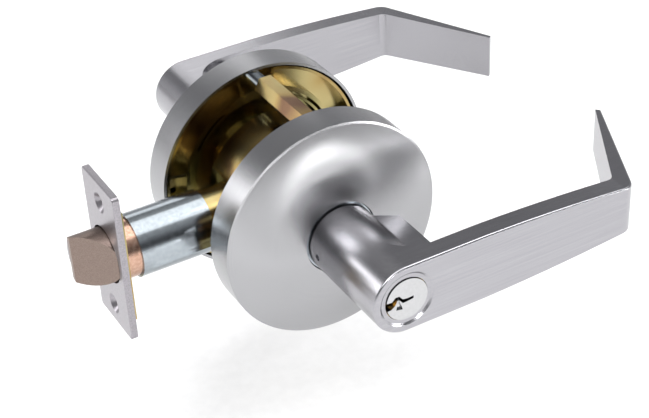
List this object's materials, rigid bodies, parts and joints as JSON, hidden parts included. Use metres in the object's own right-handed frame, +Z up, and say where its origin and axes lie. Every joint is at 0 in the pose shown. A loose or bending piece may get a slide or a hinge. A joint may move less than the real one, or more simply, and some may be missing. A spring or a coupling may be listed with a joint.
{
  "type": "lever handle lockset",
  "caption": "Keyed lever lockset: two bent levers on round domed roses, a drum chassis between them and a sprung latch with a bevelled bolt and square-cornered faceplate.",
  "frame": {"origin": "on the spindle axis, midway through the door, at the centre of the chassis drum", "axes": "+Y along the spindle axis to the inside lever, -Y to the keyed outside lever, -X along the latch to the bolt, +Z up"},
  "size_m": [0.193, 0.1614, 0.08],
  "materials": {
    "satin_chrome": "satin",
    "yellow_zinc": "satin",
    "bright_zinc": "gloss",
    "plain_steel": "satin",
    "copper_plate": "gloss",
    "sintered_stainless": "matte",
    "satin_nickel": "satin",
    "nickel_brass": "gloss",
    "brass": "satin",
    "spring_steel": "satin"
  },
  "bodies": {
    "lock_body": {"chassis_drum": "yellow_zinc", "chassis_end_plate": "yellow_zinc", "latch_bracket": "yellow_zinc", "outside_thimble": "yellow_zinc", "inside_thimble": "yellow_zinc", "outside_lock_ring": "yellow_zinc", "inside_lock_ring": "yellow_zinc", "outside_rose": "satin_chrome", "inside_rose": "satin_chrome", "outside_spring_cage": "yellow_zinc", "inside_spring_cage": "yellow_zinc", "outside_return_spring": "spring_steel", "inside_return_spring": "spring_steel", "through_bolt_posts": "yellow_zinc", "through_bolt_screws": "bright_zinc", "faceplate": "satin_nickel", "latch_backplate": "yellow_zinc", "latch_sleeve": "copper_plate", "latch_tube": "bright_zinc", "latch_stop_plate": "bright_zinc", "latch_spring": "spring_steel", "retractor_springs": "spring_steel"},
    "outside_lever_set": {"outside_lever": "satin_chrome", "outside_spindle": "plain_steel", "outside_spring_driver": "bright_zinc", "cylinder_shell": "brass", "driver_pins": "brass", "pin_springs": "spring_steel"},
    "key_plug_set": {"key_plug": "nickel_brass", "key_pins": "brass", "plug_cap": "nickel_brass", "tailpiece": "plain_steel"},
    "outside_catch": {"outside_lever_catch": "spring_steel"},
    "inside_lever_set": {"inside_lever": "satin_chrome", "inside_spindle": "plain_steel", "inside_spring_driver": "bright_zinc", "button_guide": "plain_steel", "button_spring": "spring_steel"},
    "inside_catch": {"inside_lever_catch": "spring_steel"},
    "button_set": {"push_button": "satin_nickel", "button_rod": "plain_steel"},
    "retractor": {"retractor_slide": "plain_steel"},
    "bolt": {"latch_bolt": "sintered_stainless", "latch_tail": "plain_steel"},
    "deadlatch": {"deadlatch_plunger": "satin_nickel"}
  },
  "joints": [
    {"name": "outside_lever_turn", "type": "hinge", "parent": "lock_body", "child": "outside_lever_set", "pos_m": [0, 0, 0], "axis": [0, 1, 0], "range_deg": [0, 45], "stiffness_Nm_per_rad": 1.2, "springref_deg": -20.05, "deforming": ["outside_return_spring"]},
    {"name": "inside_lever_turn", "type": "hinge", "parent": "lock_body", "child": "inside_lever_set", "pos_m": [0, 0, 0], "axis": [0, 1, 0], "range_deg": [0, 45], "stiffness_Nm_per_rad": 1.2, "springref_deg": -20.05, "deforming": ["inside_return_spring"]},
    {"name": "retractor_slide_travel", "type": "slide", "parent": "lock_body", "child": "retractor", "axis": [1, 0, 0], "range_m": [0, 0.011], "deforming": ["retractor_springs"]},
    {"name": "latch_bolt_travel", "type": "slide", "parent": "lock_body", "child": "bolt", "axis": [1, 0, 0], "range_m": [0, 0.011], "deforming": ["latch_spring"]},
    {"name": "deadlatch_travel", "type": "slide", "parent": "bolt", "child": "deadlatch", "axis": [1, 0, 0], "range_m": [0, 0.0095], "stiffness_N_per_m": 120, "springref_m": -0.004},
    {"name": "key_plug_turn", "type": "hinge", "parent": "outside_lever_set", "child": "key_plug_set", "pos_m": [0, -0.06, 0], "axis": [0, 1, 0], "range_deg": [0, 90]},
    {"name": "push_button_travel", "type": "slide", "parent": "inside_lever_set", "child": "button_set", "axis": [0, -1, 0], "range_m": [0, 0.0035], "stiffness_N_per_m": 400, "springref_m": -0.002, "deforming": ["button_spring"]},
    {"name": "outside_catch_travel", "type": "slide", "parent": "outside_lever_set", "child": "outside_catch", "axis": [1, 0, 0], "range_m": [0, 0.002], "stiffness_N_per_m": 300, "springref_m": -0.001},
    {"name": "inside_catch_travel", "type": "slide", "parent": "inside_lever_set", "child": "inside_catch", "axis": [1, 0, 0], "range_m": [0, 0.002], "stiffness_N_per_m": 300, "springref_m": -0.001}
  ],
  "couplings": [
    {"joint": "retractor_slide_travel", "follows": "outside_lever_turn", "m_per_rad": 0.014005},
    {"joint": "latch_bolt_travel", "follows": "outside_lever_turn", "m_per_rad": 0.014005}
  ]
}
